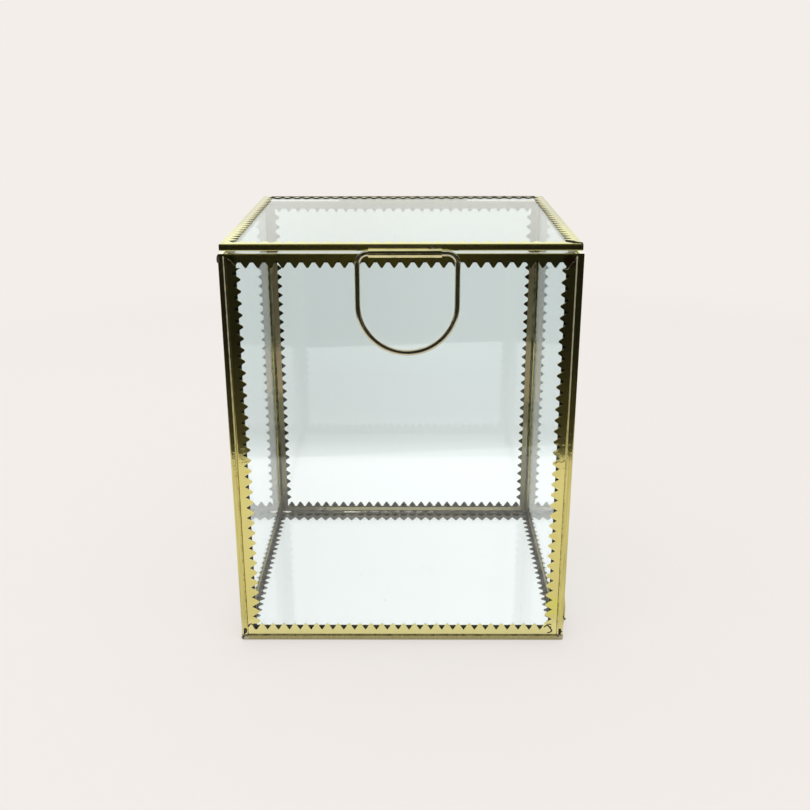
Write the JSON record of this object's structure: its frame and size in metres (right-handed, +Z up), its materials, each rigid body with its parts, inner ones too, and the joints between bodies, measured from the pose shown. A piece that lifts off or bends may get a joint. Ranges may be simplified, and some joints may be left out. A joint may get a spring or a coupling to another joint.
{
  "type": "wedding card box",
  "caption": "Glass box with folded brass edge strips cut into teeth, a hinged glass lid and a hanging wire ring, for collecting cards at a wedding.",
  "frame": {"origin": "middle of the box's footprint on the surface it stands on", "axes": "+Z up, +X to the right and -Y towards someone who faces the ring; the hinge is at +Y"},
  "size_m": [0.2032, 0.1864, 0.254],
  "materials": {
    "clear_glass": "clear 3 mm sheet glass, faint cool tint, polished",
    "strip_brass": "thin polished brass sheet, folded by hand, mirror-like with faint waves and fingerprints",
    "tube_brass": "rolled brass tube, polished",
    "wire_brass": "drawn brass wire, polished, lightly toned",
    "solder": "tin solder, dull, slightly lumpy"
  },
  "bodies": {
    "case": {"front_glass": "clear_glass", "back_glass": "clear_glass", "left_glass": "clear_glass", "right_glass": "clear_glass", "base_glass": "clear_glass", "front_top_channel": "strip_brass", "front_bottom_channel": "strip_brass", "front_left_channel": "strip_brass", "front_right_channel": "strip_brass", "back_top_channel": "strip_brass", "back_bottom_channel": "strip_brass", "back_left_channel": "strip_brass", "back_right_channel": "strip_brass", "left_top_channel": "strip_brass", "left_bottom_channel": "strip_brass", "left_front_channel": "strip_brass", "left_rear_channel": "strip_brass", "right_top_channel": "strip_brass", "right_bottom_channel": "strip_brass", "right_front_channel": "strip_brass", "right_rear_channel": "strip_brass", "base_front_channel": "strip_brass", "base_rear_channel": "strip_brass", "base_left_channel": "strip_brass", "base_right_channel": "strip_brass", "upright_seams": "solder", "base_seams": "solder", "hinge_left_knuckle": "tube_brass", "hinge_right_knuckle": "tube_brass", "hinge_pin": "wire_brass"},
    "lid": {"lid_glass": "clear_glass", "lid_front_channel": "strip_brass", "lid_rear_channel": "strip_brass", "lid_left_channel": "strip_brass", "lid_right_channel": "strip_brass", "hinge_middle_knuckle": "tube_brass", "handle_tube": "tube_brass"},
    "handle": {"handle_ring": "wire_brass"}
  },
  "joints": [
    {"name": "lid_hinge", "type": "hinge", "parent": "case", "child": "lid", "pos_m": [0, 0.09075, 0.24925], "axis": [-1, 0, 0], "range_deg": [0, 235]},
    {"name": "handle_swing", "type": "hinge", "parent": "lid", "child": "handle", "pos_m": [0.0023, -0.09075, 0.2493], "axis": [-1, 0, 0], "range_deg": [0, 194]}
  ]
}
